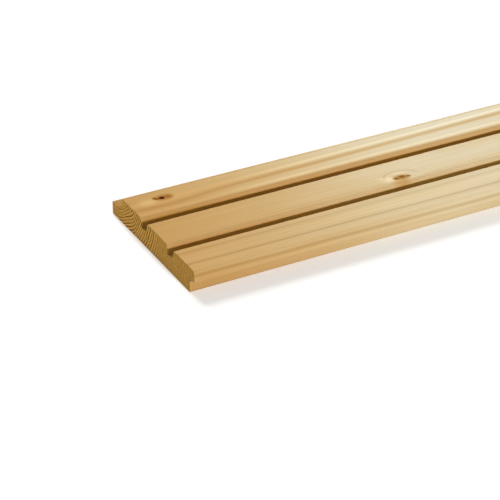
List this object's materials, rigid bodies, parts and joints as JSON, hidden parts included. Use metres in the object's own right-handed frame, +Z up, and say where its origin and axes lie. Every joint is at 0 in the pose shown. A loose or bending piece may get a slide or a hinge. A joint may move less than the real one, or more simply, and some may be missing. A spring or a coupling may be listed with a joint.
{
  "type": "grooved cladding board",
  "caption": "Planed treated spruce cladding board: flat strips parted by shadow grooves, a lower lip along one edge and an overhanging tongue along the other that lap with the next board.",
  "frame": {"origin": "middle of the flat back, on the surface that the board lies on", "axes": "+X along the board, +Y across it to the edge with the lower lip, +Z up, out of the grooved face"},
  "size_m": [1.8, 0.1344, 0.021],
  "materials": {
    "spruce": "planed, pressure treated, bare"
  },
  "bodies": {
    "root": {"board": "spruce"}
  },
  "joints": []
}
